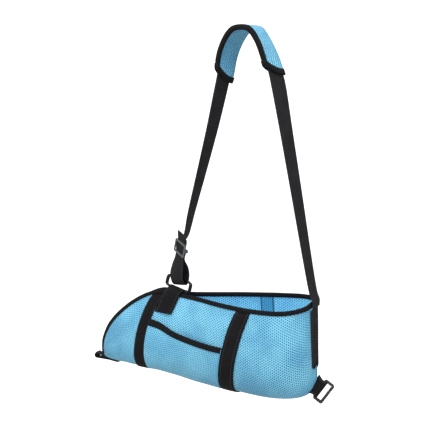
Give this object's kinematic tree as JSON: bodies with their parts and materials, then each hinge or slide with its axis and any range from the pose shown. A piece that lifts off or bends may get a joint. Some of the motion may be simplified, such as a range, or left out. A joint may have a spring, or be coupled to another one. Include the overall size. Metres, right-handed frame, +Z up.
{
  "type": "arm sling",
  "caption": "Arm sling: fabric mesh pouch for the forearm, hung from a webbing shoulder strap with a padded sleeve, a slider and a ring.",
  "frame": {"origin": "underside of the shoulder pad at its crown, where it rests on the shoulder", "axes": "+Z up along the hang of the strap, +X along the pouch from the hand end to the elbow end, -Y the front of the pouch"},
  "size_m": [0.5109, 0.1172, 0.6803],
  "materials": {
    "spacer_mesh": "matt, knitted with staggered round holes",
    "webbing": "matt, ribbed weave",
    "binding_tape": "matt",
    "ring_plastic": "gloss",
    "buckle_plastic": "satin"
  },
  "bodies": {
    "strap": {"shoulder_strap": "webbing", "pad_sleeve": "spacer_mesh", "pad_edge_binding": "binding_tape", "pad_elbow_end_binding": "binding_tape", "pad_hand_end_binding": "binding_tape"},
    "pouch": {"pouch_panel": "spacer_mesh", "front_rim_binding": "binding_tape", "back_rim_binding": "binding_tape", "wrist_band": "webbing", "middle_band": "webbing", "pocket_panel": "spacer_mesh", "pocket_binding": "binding_tape", "wrist_tab": "webbing", "elbow_seam_binding": "webbing", "seam_end_tack": "binding_tape", "elbow_tab": "webbing", "hand_end_loop": "webbing"},
    "ring": {"wrist_ring": "ring_plastic"},
    "slider": {"slider": "buckle_plastic"},
    "waist_loop": {"elbow_loop": "buckle_plastic"}
  },
  "joints": [
    {"name": "pouch_swing", "type": "hinge", "parent": "strap", "child": "pouch", "pos_m": [0, 0, -0.475], "axis": [1, 0, 0], "range_deg": [-9, 9]},
    {"name": "ring_turn", "type": "hinge", "parent": "pouch", "child": "ring", "pos_m": [-0.147, -0.0005, -0.4885], "axis": [0.9672, -0.1695, -0.1894], "range_deg": [-4, 4]},
    {"name": "slider_travel", "type": "slide", "parent": "strap", "child": "slider", "axis": [-0.2417, 0.0806, -0.967], "range_m": [0, 0.004]},
    {"name": "waist_loop_turn", "type": "hinge", "parent": "pouch", "child": "waist_loop", "pos_m": [0.14926, 0.00242, -0.64142], "axis": [-0.4963, -0.3472, -0.7957], "range_deg": [-50, 50]}
  ]
}
